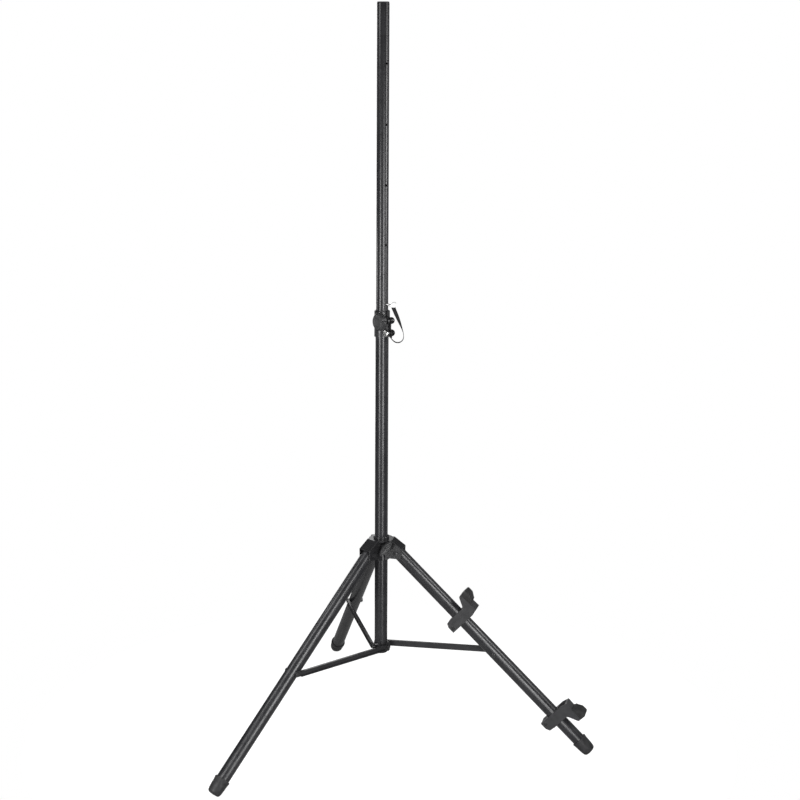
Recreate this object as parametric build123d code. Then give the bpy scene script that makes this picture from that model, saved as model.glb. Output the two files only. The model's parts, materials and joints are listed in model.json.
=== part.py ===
from build123d import *
import os
from math import atan2, cos, degrees, hypot, radians, sin, sqrt

# A folding tripod stand for a loudspeaker. Millimetres, +Z up, floor at Z 0.
# The mast stands at X MAST_X, so that the middle of the whole footprint is the origin.
# Three legs are spread evenly. Leg a points along +X, b and c follow counter-clockwise seen from above.
# Legs swing on a yoke that slides up the lower tube, and a brace ties each leg to the hub at the
# bottom of that tube. Each brace lies beside its leg, on the counter-clockwise side.
# Every leg, brace and yoke arm is drawn once, for a leg along +X of the mast, and turned into place.

# ---- driving dimensions -------------------------------------------------------------------------
LEG_AZIMUTHS = {"a": 0.0, "b": 120.0, "c": 240.0}
LEG_SPREAD = 46.7            # leg angle from the vertical when the stand is open, degrees
LEG_FOLDED = 4.0             # the same when it is folded, where the upper cable hook nears the mast
LEG_LENGTH = 803.0           # pivot to the end of the foot
LEG_RADIUS = 19.0
LEG_WALL = 1.3
LEG_TOP = 7.0                # tube above its pivot
FOOT_LENGTH = 47.0
FOOT_RADIUS = 22.8           # at its rim
FOOT_END_RADIUS = 19.0
FOOT_ROUND = 8.0             # radius of the foot's end corner
FOOT_FLAT = 3.0              # depth of the flat that stands on the floor
PIVOT_RADIUS = 50.6          # leg pivots from the mast's axis
BRACE_ON_LEG = 409.5         # leg pivot to brace pivot, along the leg
HUB_PIVOT_RADIAL = -8.0      # brace pivots on the hub, along the leg's direction
HUB_DROP = 297.0             # hub pivots below the leg pivots when open
BRACE_HEIGHT = 17.0
BRACE_WEB = 2.0
BRACE_DEPTH = 7.0
BRACE_SIDE = 21.8            # inner face of the brace, beside the mast's axis
LOWER_RADIUS = 19.0
LOWER_BORE = 17.8
UPPER_RADIUS = 17.5
UPPER_BORE = 16.0
HOLE_PITCH = 170.0           # between the pin holes of the upper tube, and from its top to the first
PINNED_HOLE = 5              # the hole that the pin is in, counted from the top
UPPER_INSERT = 230.0         # upper tube inside the lower one when fully raised
COLLAR_OVER_YOKE = 643.0     # bottom of the clamp collar above the leg pivots when open
COLLAR_HEIGHT = 76.0
COLLAR_RADIUS = 22.6
CLAMP_AZIMUTH = -38.0        # the side of the mast where the collar's ears and the pin are
CLAMP_OFFSET = 30.6          # clamp screws from the mast's axis
YOKE_KNOB_AZIMUTH = -60.0
VIEW_SIDE_AZIMUTH = 15.7     # the pin's ring stands in the upright plane of this direction
KNOB_RADIUS = 25.0
KNOB_NECK = 7.0
KNOB_FROM = 22.5             # the knob's wide part, along its screw from the middle of the ears
KNOB_TO = 41.0
KNOB_FLUTES = 4
KNOB_SCOOP = 12.0            # radius of a finger scoop in the knob's rim
WING_LENGTH = 52.0
WING_WIDTH = 20.0
WING_THICK = 13.0
WING_LEAN = 50.0             # of the wing's length from the level, degrees
WING_FROM = 46.0             # back of the wing from the mast's axis
STRAP_WIDTH = 11.0
STRAP_THICK = 1.6
STRAP_TAB = 1.5              # thickness of the steel tab
STRAP_TAB_DROP = 14.0
GAP = 0.3                    # between parts that move past each other
RUNNING = 0.08               # radial clearance of a shaft in its hole

# ---- worked out from them -----------------------------------------------------------------------
spread = radians(LEG_SPREAD)
folded = radians(LEG_FOLDED)
foot_drop = (LEG_LENGTH - FOOT_ROUND) * cos(spread) + (FOOT_END_RADIUS - FOOT_ROUND) * sin(spread)
YOKE_Z = foot_drop + FOOT_ROUND - FOOT_FLAT
HUB_Z = YOKE_Z - HUB_DROP
brace_reach = PIVOT_RADIUS + BRACE_ON_LEG * sin(spread) - HUB_PIVOT_RADIAL
brace_rise = HUB_DROP - BRACE_ON_LEG * cos(spread)
BRACE_LENGTH = hypot(brace_reach, brace_rise)
BRACE_ANGLE = degrees(atan2(brace_rise, brace_reach))
folded_reach = PIVOT_RADIUS + BRACE_ON_LEG * sin(folded) - HUB_PIVOT_RADIAL
folded_rise = sqrt(BRACE_LENGTH**2 - folded_reach**2)
YOKE_TRAVEL = folded_rise + BRACE_ON_LEG * cos(folded) - HUB_DROP
BRACE_TURN = degrees(atan2(folded_rise, folded_reach)) - BRACE_ANGLE
COLLAR_Z = YOKE_Z + COLLAR_OVER_YOKE
COLLAR_TOP = COLLAR_Z + COLLAR_HEIGHT
PIN_Z = COLLAR_TOP + 20.0
TOP_PLUG_LIP = 4.0
UPPER_TOP = PIN_Z + PINNED_HOLE * HOLE_PITCH
UPPER_BOTTOM = COLLAR_TOP - UPPER_INSERT
SOCKET_LINE = 120.0          # shallow line that shows how far a loudspeaker's socket goes on
HUB_HALF = 14.0
HUB_BOLT_TIP = 6.0
LOWER_BOTTOM = HUB_Z - HUB_HALF
LOWER_TOP = COLLAR_TOP - 40.0
CLAMP_SCREW_Z = COLLAR_Z + 49.0
CLAMP_BOLT_Z = COLLAR_Z + 13.0
EAR_HALF_GAP = 2.0
EAR_OUT = 8.0
NUT_RADIUS = 10.0
PIN_RADIUS = 3.0
PIN_HOLE_RADIUS = 3.25
PIN_OUT = 45.0
RING_RADIUS = 8.7
RING_WIRE = 1.0
RING_EYE = 1.6               # hole in the pin that the ring goes through, wide enough for its curve
EAR_INNER = 19.5             # inner face of a yoke arm's wall, beside the leg's axis
EAR_WALL = 2.5
YOKE_BORE = 21.6
YOKE_SLEEVE = 24.0
YOKE_TOP = 38.0
YOKE_BOTTOM = -25.0
YOKE_KNOB_Z = YOKE_Z + 20.0
M8 = 4.0                     # bolt radii
M6 = 3.0
M5 = 2.5
NUT_BORE = 6.0               # depth of the blind hole in a dome nut


def foot_reach(turn):
    """How far a foot reaches from the mast's axis, in the direction that is turned this far from its leg."""
    lean = sin(spread) * cos(radians(turn))
    rim = (FOOT_END_RADIUS - FOOT_ROUND) * sqrt(1 - lean**2)
    return PIVOT_RADIUS * cos(radians(turn)) + (LEG_LENGTH - FOOT_ROUND) * lean + rim + FOOT_ROUND


# leg a reaches furthest one way and legs b and c the other way
MAST_X = (foot_reach(60) - foot_reach(0)) / 2

UP = Vector(0, 0, 1)
LOW = (Align.CENTER, Align.CENTER, Align.MIN)
BIG = 4000.0

# ---- helpers ------------------------------------------------------------------------------------
def around(azimuth, radius=1.0, z=0.0):
    """A point at this azimuth and distance from the mast's axis."""
    return Vector(radius * cos(radians(azimuth)), radius * sin(radians(azimuth)), z)


def rod(radius, start, end):
    """A round bar between two points."""
    axis = end - start
    return Plane(origin=start, z_dir=axis) * Cylinder(radius, axis.length, align=LOW)


def tube(outer, inner, bottom, top):
    """An upright tube on the mast's axis."""
    wall = Cylinder(outer, top - bottom, align=LOW) - Cylinder(inner, top - bottom, align=LOW)
    return Pos(0, 0, bottom) * wall


def cap_head(radius, height, start, direction):
    """A low round bolt head with a softened rim, standing on a point."""
    head = Cylinder(radius, height, align=LOW)
    head = fillet(head.edges().group_by(Axis.Z)[-1], height * 0.45)
    return Plane(origin=start, z_dir=direction) * head


def hex_nut(across, height, start, direction, bore):
    nut = extrude(RegularPolygon(across / 2, 6, major_radius=False), height)
    nut = nut - Cylinder(bore, height, align=LOW)
    return Plane(origin=start, z_dir=direction) * nut


def side_bar(radius, x, z, side_from, side_to):
    """A bar across the leg's plane, at x from the mast and height z."""
    return rod(radius, Vector(x, side_from, z), Vector(x, side_to, z))


def leg_point(along, up=0.0, side=0.0):
    """A point of leg a: along it from its pivot, above it in its upright plane, and beside it."""
    x = PIVOT_RADIUS + along * sin(spread) + up * cos(spread)
    z = YOKE_Z - along * cos(spread) + up * sin(spread)
    return Vector(x, side, z)


LEG_AXIS = leg_point(1) - leg_point(0)
# sketches on this plane read (along the leg, above the leg)
LEG_PLANE = Plane(origin=leg_point(0), x_dir=LEG_AXIS, z_dir=(0, -1, 0))


def cylinder_on_leg(radius, start, end):
    return rod(radius, leg_point(start), leg_point(end))


def ring_on_leg(outer, inner, start, end):
    return cylinder_on_leg(outer, start, end) - cylinder_on_leg(inner, start, end)


def plate(points, half_width):
    """A flat piece of leg a's plane: its outline in (along, above), and its width both ways."""
    face = LEG_PLANE * make_face(Polyline(*points, close=True))
    return extrude(face, half_width, both=True)


# ---- mast ---------------------------------------------------------------------------------------
def lower_tube():
    return cut_hub_holes(tube(LOWER_RADIUS, LOWER_BORE, LOWER_BOTTOM, LOWER_TOP))


def upper_tube():
    body = tube(UPPER_RADIUS, UPPER_BORE, UPPER_BOTTOM, UPPER_TOP - TOP_PLUG_LIP)
    line_z = UPPER_TOP - TOP_PLUG_LIP - SOCKET_LINE
    body -= tube(UPPER_RADIUS + 1, UPPER_RADIUS - 0.3, line_z - 1.5, line_z)
    for hole in range(PINNED_HOLE):
        z = UPPER_TOP - (hole + 1) * HOLE_PITCH
        body -= rod(PIN_HOLE_RADIUS, around(CLAMP_AZIMUTH, -30, z), around(CLAMP_AZIMUTH, 30, z))
    return body


def top_plug():
    lip = Pos(0, 0, UPPER_TOP - TOP_PLUG_LIP) * Cylinder(UPPER_RADIUS - 0.4, TOP_PLUG_LIP, align=LOW)
    lip = fillet(lip.edges().group_by(Axis.Z)[-1], 2.0)
    shank = tube(UPPER_BORE, UPPER_BORE - 2.5, UPPER_TOP - TOP_PLUG_LIP - 22, UPPER_TOP - TOP_PLUG_LIP)
    return lip + shank


def guide_plug():
    """Closes the lower end of the upper tube and steadies it in the lower tube."""
    lip = Pos(0, 0, UPPER_BOTTOM - 6) * Cylinder(UPPER_RADIUS, 6, align=LOW)
    shank = Pos(0, 0, UPPER_BOTTOM) * Cylinder(UPPER_BORE, 24, align=LOW)
    return lip + shank


def hub():
    """A collar on the foot of the lower tube with three flats that the braces lie against."""
    body = tube(LOWER_RADIUS + 1.2, LOWER_RADIUS, HUB_Z - HUB_HALF, HUB_Z + HUB_HALF)
    for azimuth in LEG_AZIMUTHS.values():
        flat = Pos(HUB_PIVOT_RADIAL, (BRACE_SIDE - GAP + 12) / 2, HUB_Z)
        boss = flat * Box(17, BRACE_SIDE - GAP - 12, 2 * HUB_HALF)
        boss = fillet(boss.edges().filter_by(Axis.Y), 4.0)
        body += Rot(0, 0, azimuth) * boss
    body -= Pos(0, 0, HUB_Z) * Cylinder(LOWER_RADIUS, 4 * HUB_HALF)
    return cut_hub_holes(body)


def cut_hub_holes(body):
    for azimuth in LEG_AZIMUTHS.values():
        body -= Rot(0, 0, azimuth) * side_bar(M6, HUB_PIVOT_RADIAL, HUB_Z, HUB_BOLT_TIP, BRACE_SIDE)
    return body


def hub_core():
    """Fills the foot of the lower tube, so that the hub bolts have something to bite."""
    core = Pos(0, 0, LOWER_BOTTOM) * Cylinder(LOWER_BORE, 40, align=LOW)
    lip = Pos(0, 0, LOWER_BOTTOM - 4) * Cylinder(LOWER_RADIUS + 1.2, 4, align=LOW)
    lip = fillet(lip.edges().group_by(Axis.Z)[0], 3.0)
    return cut_hub_holes(core + lip)


# ---- clamp collar -------------------------------------------------------------------------------
CLAMP_OUTWARD = around(CLAMP_AZIMUTH)
CLAMP_ALONG = around(CLAMP_AZIMUTH - 90)      # from the ears towards the knob


def clamp_point(along, z):
    """A point on a clamp screw's axis, measured from the middle of the gap between the ears."""
    return CLAMP_OUTWARD * CLAMP_OFFSET + CLAMP_ALONG * along + UP * z


def clamp_collar():
    body = tube(COLLAR_RADIUS, LOWER_RADIUS, COLLAR_Z, COLLAR_TOP)
    body = chamfer(body.edges().filter_by(GeomType.CIRCLE).group_by(Axis.Z)[-1].sort_by(SortBy.RADIUS)[-1], 2.0)
    ears = Pos(25.0, 0, (CLAMP_SCREW_Z + CLAMP_BOLT_Z) / 2) * Box(
        18, 2 * EAR_OUT, CLAMP_SCREW_Z - CLAMP_BOLT_Z + 2 * NUT_RADIUS
    )
    for z in (CLAMP_SCREW_Z, CLAMP_BOLT_Z):
        ears += rod(NUT_RADIUS, Vector(CLAMP_OFFSET, -EAR_OUT, z), Vector(CLAMP_OFFSET, EAR_OUT, z))
    waist_z = (CLAMP_SCREW_Z + CLAMP_BOLT_Z) / 2
    ears -= rod(9.0, Vector(CLAMP_OFFSET + 12, -EAR_OUT, waist_z), Vector(CLAMP_OFFSET + 12, EAR_OUT, waist_z))
    ears -= Pos(LOWER_RADIUS, 0, waist_z) * Box(2 * LOWER_RADIUS, 2 * EAR_HALF_GAP, COLLAR_HEIGHT + 20)
    body -= Pos(LOWER_RADIUS, 0, waist_z) * Box(2 * LOWER_RADIUS, 2 * EAR_HALF_GAP, COLLAR_HEIGHT + 40)
    body += ears - Pos(30, 0, waist_z) * Box(60, 2 * EAR_HALF_GAP, COLLAR_HEIGHT + 40)
    body -= Pos(0, 0, COLLAR_Z) * Cylinder(LOWER_RADIUS, COLLAR_HEIGHT, align=LOW)
    body = Rot(0, 0, CLAMP_AZIMUTH) * body
    for z in (CLAMP_SCREW_Z, CLAMP_BOLT_Z):
        for side in (-1, 1):
            seat = NUT_RADIUS + GAP
            body -= rod(seat, clamp_point(side * EAR_OUT, z), clamp_point(side * (EAR_OUT + NUT_RADIUS), z))
    body -= rod(M8 + RUNNING, clamp_point(-20, CLAMP_SCREW_Z), clamp_point(20, CLAMP_SCREW_Z))
    body -= rod(M6, clamp_point(-20, CLAMP_BOLT_Z), clamp_point(20, CLAMP_BOLT_Z))
    return body


def collar_bushing():
    """The split plastic sleeve that grips the upper tube, above the end of the lower tube."""
    body = tube(LOWER_RADIUS, LOWER_BORE, LOWER_TOP, COLLAR_TOP)
    slit = Pos(LOWER_RADIUS, 0, COLLAR_TOP - 20) * Box(20, 2 * EAR_HALF_GAP, 60)
    return body - Rot(0, 0, CLAMP_AZIMUTH) * slit


def clamp_bolt():
    """The fixed lower bolt of the collar, with its broad plated head."""
    tip = -EAR_OUT - STRAP_TAB - NUT_BORE
    shank = rod(M6, clamp_point(tip, CLAMP_BOLT_Z), clamp_point(EAR_OUT, CLAMP_BOLT_Z))
    return shank + cap_head(NUT_RADIUS, 4.0, clamp_point(EAR_OUT, CLAMP_BOLT_Z), CLAMP_ALONG)


def dome_nut(start_along, z, bore):
    nut = Sphere(NUT_RADIUS) & Pos(0, 0, NUT_RADIUS / 2) * Box(BIG, BIG, NUT_RADIUS)
    nut = Pos(0, 0, 2) * nut + Cylinder(NUT_RADIUS, 2, align=LOW)
    nut = Plane(origin=clamp_point(start_along, z), z_dir=-CLAMP_ALONG) * nut
    return nut - rod(bore, clamp_point(start_along, z), clamp_point(start_along - NUT_BORE, z))


def collar_nuts():
    upper = dome_nut(-EAR_OUT - GAP, CLAMP_SCREW_Z, M8 + RUNNING)
    lower = dome_nut(-EAR_OUT - STRAP_TAB, CLAMP_BOLT_Z, M6)
    return [upper, lower]


def strap_tab():
    """A thin steel tab under the lower nut that the tether strap is sewn to."""
    profile = Circle(8.0) + Pos(0, -STRAP_TAB_DROP / 2) * Rectangle(STRAP_WIDTH, STRAP_TAB_DROP)
    profile -= Circle(M6)
    side = Plane(origin=clamp_point(-EAR_OUT, CLAMP_BOLT_Z), x_dir=CLAMP_OUTWARD, z_dir=-CLAMP_ALONG)
    if side.y_dir.Z < 0:
        side = Plane(origin=side.origin, x_dir=-side.x_dir, z_dir=side.z_dir)
    return extrude(side * profile, STRAP_TAB)


def clamp_knob():
    """Round knob with a chamfered face on a narrow neck, beside the collar."""
    wide = Pos(0, 0, KNOB_FROM) * Cylinder(KNOB_RADIUS, KNOB_TO - KNOB_FROM, align=LOW)
    wide = chamfer(wide.edges().group_by(Axis.Z)[-1], 4.0)
    wide = fillet(wide.edges().group_by(Axis.Z)[0], 3.0)
    for turn in range(KNOB_FLUTES):
        scoop = Pos(KNOB_RADIUS + 9.0, 0, 0) * Cylinder(KNOB_SCOOP, 2 * BIG)
        wide -= Rot(0, 0, turn * 360 / KNOB_FLUTES + 20) * scoop
    neck = Pos(0, 0, EAR_OUT + GAP) * Cylinder(KNOB_NECK, KNOB_FROM - EAR_OUT - GAP + 2, align=LOW)
    body = wide + neck - Cylinder(M8, KNOB_TO - 6, align=LOW)
    return Plane(origin=clamp_point(0, CLAMP_SCREW_Z), z_dir=CLAMP_ALONG) * body


def clamp_screw():
    return rod(M8, clamp_point(-EAR_OUT - 5, CLAMP_SCREW_Z), clamp_point(KNOB_TO - 6, CLAMP_SCREW_Z))


# ---- pin and tether -----------------------------------------------------------------------------
def safety_pin():
    """The pin without the stretch inside the upper tube, which has to be free to slide."""
    reach = UPPER_RADIUS + GAP
    shank = rod(PIN_RADIUS, around(CLAMP_AZIMUTH, reach, PIN_Z), around(CLAMP_AZIMUTH, PIN_OUT, PIN_Z))
    end = around(CLAMP_AZIMUTH, PIN_OUT - 3, PIN_Z)
    shank -= rod(RING_EYE, end - UP * 9, end + UP * 9)
    tip = rod(PIN_RADIUS, around(CLAMP_AZIMUTH, -reach, PIN_Z), around(CLAMP_AZIMUTH, -reach - 3.2, PIN_Z))
    return [shank, tip]


def ring_centre():
    return around(CLAMP_AZIMUTH, PIN_OUT - 3, PIN_Z) + around(VIEW_SIDE_AZIMUTH, RING_RADIUS)


def pin_ring():
    across = around(VIEW_SIDE_AZIMUTH - 90)
    return Plane(origin=ring_centre(), z_dir=across) * Torus(RING_RADIUS, RING_WIRE)


def tether_strap():
    """Flat webbing from the tab to the ring, one ribbon bent in one tilted plane."""
    route = [Vector(*p) for p in STRAP_ROUTE]
    normal = (route[-1] - route[0]).cross(route[2] - route[0])
    plane = Plane(origin=route[0], x_dir=route[2] - route[0], z_dir=normal)
    flat = [plane.to_local_coords(p) for p in route]
    flat = [Vector(p.X, p.Y, 0) for p in flat]
    radii = [corner_radius(*flat[i - 1:i + 2]) for i in range(1, len(flat) - 1)]
    path = FilletPolyline(*flat, radius=radii)
    print("strap radii", [round(r, 1) for r in radii], "length", round(path.length, 1))
    ribbon = extrude(trace(path, line_width=STRAP_THICK), STRAP_WIDTH / 2, both=True)
    print("strap volume over section", round(ribbon.volume / STRAP_WIDTH / STRAP_THICK, 1))
    return plane * ribbon


def corner_radius(before, corner, after):
    """The largest even arc that the two runs at a corner allow."""
    a, b = corner - before, after - corner
    half_turn = radians(a.get_angle(b)) / 2
    return 0.45 * min(a.length, b.length) / (sin(half_turn) / cos(half_turn))


# ---- yoke ---------------------------------------------------------------------------------------
def yoke_arm():
    """One leg's channel: two walls and a sloping cover, open below and outward."""
    outline = [
        (18, YOKE_TOP),
        (36.5, YOKE_TOP),
        (69, 15),
        (68, -17),
        (30, -17),
        (18, YOKE_BOTTOM + 2),
    ]
    side = Plane(origin=(0, 0, YOKE_Z), x_dir=(1, 0, 0), z_dir=(0, -1, 0))
    face = make_face(Polyline(*outline, close=True))
    outer = EAR_INNER + EAR_WALL
    solid = extrude(side * face, outer, both=True)
    solid = fillet(solid.edges().filter_by(Axis.Y).group_by(Axis.X)[-2:], 2.0)
    rim = [e for e in solid.edges() if abs(e.center().Z - YOKE_Z - 26.5) < 2 and abs(e.center().Y) > outer - 0.1]
    solid = fillet(rim, 2.4)
    inside = [(26, YOKE_TOP - EAR_WALL), (35.7, YOKE_TOP - EAR_WALL), (72.5, 10), (72.5, -40), (26, -40)]
    solid -= extrude(side * make_face(Polyline(*inside, close=True)), EAR_INNER, both=True)
    return solid


def yoke_frame():
    body = Pos(0, 0, YOKE_Z + YOKE_BOTTOM) * Cylinder(YOKE_SLEEVE, YOKE_TOP - YOKE_BOTTOM, align=LOW)
    flange = Pos(0, 0, YOKE_Z + YOKE_TOP - 4) * Cylinder(37, 4, align=LOW)
    body += chamfer(flange.edges().group_by(Axis.Z)[-1], 1.5)
    for azimuth in LEG_AZIMUTHS.values():
        body += Rot(0, 0, azimuth) * yoke_arm()
    knob_boss = rod(9.0, around(YOKE_KNOB_AZIMUTH, 20, YOKE_KNOB_Z), around(YOKE_KNOB_AZIMUTH, 35, YOKE_KNOB_Z))
    body += knob_boss
    body -= Pos(0, 0, YOKE_Z) * Cylinder(YOKE_BORE, 200)
    body -= rod(M8 + RUNNING, around(YOKE_KNOB_AZIMUTH, 15, YOKE_KNOB_Z), around(YOKE_KNOB_AZIMUTH, 60, YOKE_KNOB_Z))
    for azimuth in LEG_AZIMUTHS.values():
        body -= Rot(0, 0, azimuth) * side_bar(M8, PIVOT_RADIUS, YOKE_Z, -30, 30)
    return body


def yoke_bushing():
    body = tube(YOKE_BORE, LOWER_RADIUS + GAP, YOKE_Z + YOKE_BOTTOM, YOKE_Z + YOKE_TOP)
    lip = tube(YOKE_BORE + 1.6, LOWER_RADIUS + GAP, YOKE_Z + YOKE_TOP, YOKE_Z + YOKE_TOP + 8)
    rim = lip.edges().filter_by(GeomType.CIRCLE).group_by(Axis.Z)[-1].sort_by(SortBy.RADIUS)[-1]
    body += fillet(rim, 3.0)
    return body - rod(M8, around(YOKE_KNOB_AZIMUTH, 15, YOKE_KNOB_Z), around(YOKE_KNOB_AZIMUTH, 60, YOKE_KNOB_Z))


def brake_pad():
    """A nylon slug between the yoke's screw and the lower tube."""
    inner = LOWER_RADIUS + GAP
    slug = rod(M8, around(YOKE_KNOB_AZIMUTH, 15, YOKE_KNOB_Z), around(YOKE_KNOB_AZIMUTH, 23.5, YOKE_KNOB_Z))
    return slug - Pos(0, 0, YOKE_KNOB_Z) * Cylinder(inner, 30)


def pivot_bolts():
    outer = EAR_INNER + EAR_WALL
    bolts = []
    for azimuth in LEG_AZIMUTHS.values():
        bolt = side_bar(M8, PIVOT_RADIUS, YOKE_Z, -outer, outer + 7)
        bolt += cap_head(7.0, 4.5, Vector(PIVOT_RADIUS, -outer, YOKE_Z), Vector(0, -1, 0))
        bolts.append(Rot(0, 0, azimuth) * bolt)
    return bolts


def pivot_nuts():
    outer = EAR_INNER + EAR_WALL
    nut = hex_nut(13, 6.5, Vector(PIVOT_RADIUS, outer, YOKE_Z), Vector(0, 1, 0), M8)
    return [Rot(0, 0, azimuth) * nut for azimuth in LEG_AZIMUTHS.values()]


def yoke_knob():
    """Leaf-shaped wing on a round stem; its length leans over to one side."""
    wing = extrude(Ellipse(WING_LENGTH / 2, WING_WIDTH / 2), WING_THICK)
    wing = fillet(wing.edges().group_by(Axis.Z)[-1], 3.5)
    wing = fillet(wing.edges().group_by(Axis.Z)[0], 2.0)
    wing -= Pos(0, 0, 29) * Sphere(18)
    stem = Pos(0, 0, -8) * Cylinder(8, 9, align=LOW)
    body = Rot(0, 0, WING_LEAN) * wing + stem - Pos(0, 0, -8) * Cylinder(M8, 13, align=LOW)
    out = around(YOKE_KNOB_AZIMUTH)
    origin = around(YOKE_KNOB_AZIMUTH, WING_FROM, YOKE_KNOB_Z)
    return Plane(origin=origin, x_dir=UP.cross(out), z_dir=out) * body


def yoke_screw():
    start = around(YOKE_KNOB_AZIMUTH, 23.8, YOKE_KNOB_Z)
    return rod(M8, start, around(YOKE_KNOB_AZIMUTH, WING_FROM + 5, YOKE_KNOB_Z))


# ---- legs ---------------------------------------------------------------------------------------
def leg_tube():
    body = ring_on_leg(LEG_RADIUS, LEG_RADIUS - LEG_WALL, -LEG_TOP, LEG_LENGTH - 8)
    body -= side_bar(M8 + RUNNING, PIVOT_RADIUS, YOKE_Z, -40, 40)
    at = leg_point(BRACE_ON_LEG)
    return body - side_bar(M6, at.X, at.Z, -40, 40)


def leg_plug():
    """Plastic insert that stiffens the top of the leg around its pivot."""
    body = cylinder_on_leg(LEG_RADIUS - LEG_WALL, -LEG_TOP, 26)
    return body - side_bar(M8 + RUNNING, PIVOT_RADIUS, YOKE_Z, -40, 40)


def foot():
    start = LEG_LENGTH - FOOT_LENGTH
    outline = [
        (start, LEG_RADIUS),
        (start, FOOT_RADIUS),
        (start + 3, FOOT_RADIUS),
        (start + 6, FOOT_RADIUS - 0.5),
        (LEG_LENGTH, FOOT_END_RADIUS),
        (LEG_LENGTH, 0),
        (LEG_LENGTH - 8, 0),
        (LEG_LENGTH - 8, LEG_RADIUS),
    ]
    face = LEG_PLANE * make_face(Polyline(*outline, close=True))
    body = revolve(face, Axis(leg_point(0), LEG_AXIS), 360)
    corner = [e for e in body.edges() if abs((e.center() - leg_point(0)).dot(LEG_AXIS) - LEG_LENGTH) < 0.5]
    body = fillet([e for e in corner if e.geom_type == GeomType.CIRCLE], FOOT_ROUND)
    return body - Pos(0, 0, -BIG / 2) * Box(BIG, BIG, BIG)


def brace_stud():
    """The bolt through the leg that the brace hangs on. It stops short of the brace."""
    at = leg_point(BRACE_ON_LEG)
    stud = side_bar(M6, at.X, at.Z, -LEG_RADIUS - 2, BRACE_SIDE - GAP)
    stud += cap_head(6.5, 4.0, Vector(at.X, -LEG_RADIUS - 2, at.Z), Vector(0, -1, 0))
    return stud


def stud_washers():
    """Saddle washers that sit on the round leg, one under the stud's head and one facing the brace."""
    at = leg_point(BRACE_ON_LEG)
    near = side_bar(7.5, at.X, at.Z, -LEG_RADIUS - 2, -12) - cylinder_on_leg(LEG_RADIUS, 380, 440)
    far = side_bar(7.5, at.X, at.Z, 12, BRACE_SIDE - GAP) - cylinder_on_leg(LEG_RADIUS, 380, 440)
    bore = side_bar(M6, at.X, at.Z, -40, 40)
    return [near - bore, far - bore]


# ---- braces -------------------------------------------------------------------------------------
def brace():
    """A pressed channel whose back lies against the hub and the leg, with rounded ends."""
    slot = SlotCenterToCenter(BRACE_LENGTH, BRACE_HEIGHT)
    web = extrude(slot, BRACE_WEB)
    run = BRACE_LENGTH - 24
    rail = Pos(0, 0, BRACE_WEB) * Box(run, BRACE_HEIGHT, BRACE_DEPTH - BRACE_WEB, align=LOW)
    inside = Pos(0, 0, BRACE_WEB) * Box(BIG, BRACE_HEIGHT - 2 * BRACE_WEB, BIG, align=LOW)
    body = web + (rail - inside)
    for end in (-1, 1):
        body -= Pos(end * BRACE_LENGTH / 2, 0, 0) * Cylinder(M6 + RUNNING, 10)
    start = Vector(HUB_PIVOT_RADIAL, BRACE_SIDE, HUB_Z)
    along = Vector(brace_reach, 0, brace_rise).normalized()
    plane = Plane(origin=start + along * BRACE_LENGTH / 2, x_dir=along, z_dir=(0, 1, 0))
    return plane * body


def brace_rivet():
    """The visible end of the leg bolt, on the brace's open side."""
    at = leg_point(BRACE_ON_LEG)
    back = BRACE_SIDE + BRACE_WEB
    rivet = side_bar(M6 + RUNNING, at.X, at.Z, BRACE_SIDE, back)
    return rivet + cap_head(6.0, 3.5, Vector(at.X, back, at.Z), Vector(0, 1, 0))


def hub_bolts():
    back = BRACE_SIDE + BRACE_WEB + GAP
    bolts = []
    for azimuth in LEG_AZIMUTHS.values():
        bolt = side_bar(M6, HUB_PIVOT_RADIAL, HUB_Z, HUB_BOLT_TIP, back)
        bolt += cap_head(6.0, 3.5, Vector(HUB_PIVOT_RADIAL, back, HUB_Z), Vector(0, 1, 0))
        bolts.append(Rot(0, 0, azimuth) * bolt)
    return bolts


# ---- cable hooks on leg a -----------------------------------------------------------------------
HOOKS = {"upper": (283.0, -1), "lower": (647.0, 1)}    # heel of the hook along the leg, and its way
HOOK_WIDTH = 34.0
HOOK_HALF = 21.0             # half of the moulding's thickness, beside the leg
HOOK_SKIN = 3.0              # walls around the hollow in the heel
HOOK_STEP = 0.8              # depth of the step on its flat sides
LUG_HALF_GAP = 3.0
HOOK_SCREW = (11.0, -33.0)
SCREW_HEAD = 4.5
SCREW_RECESS = 3.5
PAD_RIB = 1.0


def hook_points(heel, way, points):
    return [(heel + way * along, up) for along, up in points]


def hook_side(heel, way, points, side_from, side_to):
    """A flat piece of the hook's outline, between two places beside the leg's plane."""
    face = LEG_PLANE * make_face(Polyline(*hook_points(heel, way, points), close=True))
    solid = extrude(face, abs(side_to - side_from) / 2, both=True)
    return Pos(0, (side_from + side_to) / 2, 0) * solid


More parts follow.
